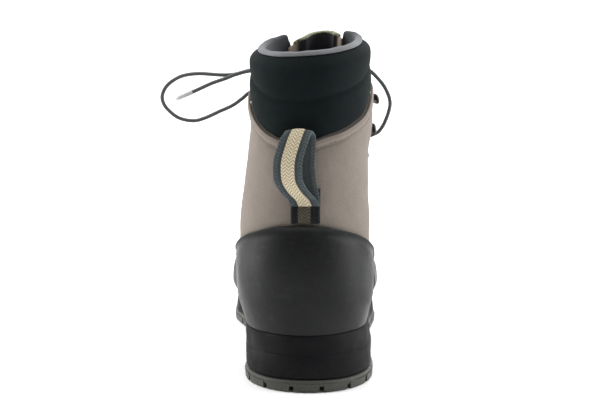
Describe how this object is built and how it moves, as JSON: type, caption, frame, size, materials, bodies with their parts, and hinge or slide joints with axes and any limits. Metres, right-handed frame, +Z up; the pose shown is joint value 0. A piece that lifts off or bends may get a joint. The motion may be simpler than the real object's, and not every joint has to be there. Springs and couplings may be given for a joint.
{
  "type": "wading boot",
  "caption": "Right lace-up wading boot: fabric upper, rubber heel counter and toe cap, padded collar, webbing pull loop, tongue, laces tied in a bow, lugged rubber sole.",
  "frame": {"origin": "centre of the heel's flat ground face, on the ground", "axes": "+Y towards the toe, +X towards the outer side of the right foot, +Z up"},
  "size_m": [0.1602, 0.3182, 0.2214],
  "materials": {
    "grey_rubber": "matt moulded rubber",
    "black_foam": "matt moulded foam",
    "footbed": "fabric over foam",
    "taupe_fabric": "matt synthetic leather",
    "taupe_facing": "matt synthetic leather",
    "black_rubber": "satin moulded rubber",
    "black_neoprene": "matt neoprene",
    "grey_lining": "knitted lining",
    "slate_webbing": "woven webbing with a tan stripe",
    "tongue_fabric": "padded fabric",
    "dark_metal": "dark satin metal",
    "lace_cord": "braided cord",
    "grey_tip": "plastic film"
  },
  "bodies": {
    "root": {"outsole": "grey_rubber", "midsole": "black_foam", "insole": "footbed", "upper": "taupe_fabric", "heel_counter": "black_rubber", "toe_cap": "black_rubber", "eyestay_outer": "taupe_facing", "eyestay_inner": "taupe_facing", "topline_band": "taupe_fabric", "collar": "black_neoprene", "collar_lining": "grey_lining", "backstay": "slate_webbing", "pull_loop": "slate_webbing", "tongue": "tongue_fabric", "eyelet_outer_1": "dark_metal", "eyelet_inner_1": "dark_metal", "eyelet_outer_2": "dark_metal", "eyelet_inner_2": "dark_metal", "eyelet_outer_3": "dark_metal", "eyelet_inner_3": "dark_metal", "eyelet_outer_4": "dark_metal", "eyelet_inner_4": "dark_metal", "hook_outer_1": "dark_metal", "hook_inner_1": "dark_metal", "hook_outer_2": "dark_metal", "hook_inner_2": "dark_metal", "hook_outer_3": "dark_metal", "hook_inner_3": "dark_metal", "lace_bar": "lace_cord", "lace_cross_1": "lace_cord", "lace_cross_2": "lace_cord", "lace_cross_3": "lace_cord", "lace_cross_4": "lace_cord", "lace_cross_5": "lace_cord", "lace_cross_6": "lace_cord", "lace_top": "lace_cord", "lace_knot": "lace_cord", "lace_loop_inner": "lace_cord", "lace_loop_outer": "lace_cord", "lace_end_inner": "lace_cord", "lace_end_outer": "lace_cord", "aglet_inner": "grey_tip", "aglet_outer": "grey_tip"}
  },
  "joints": []
}
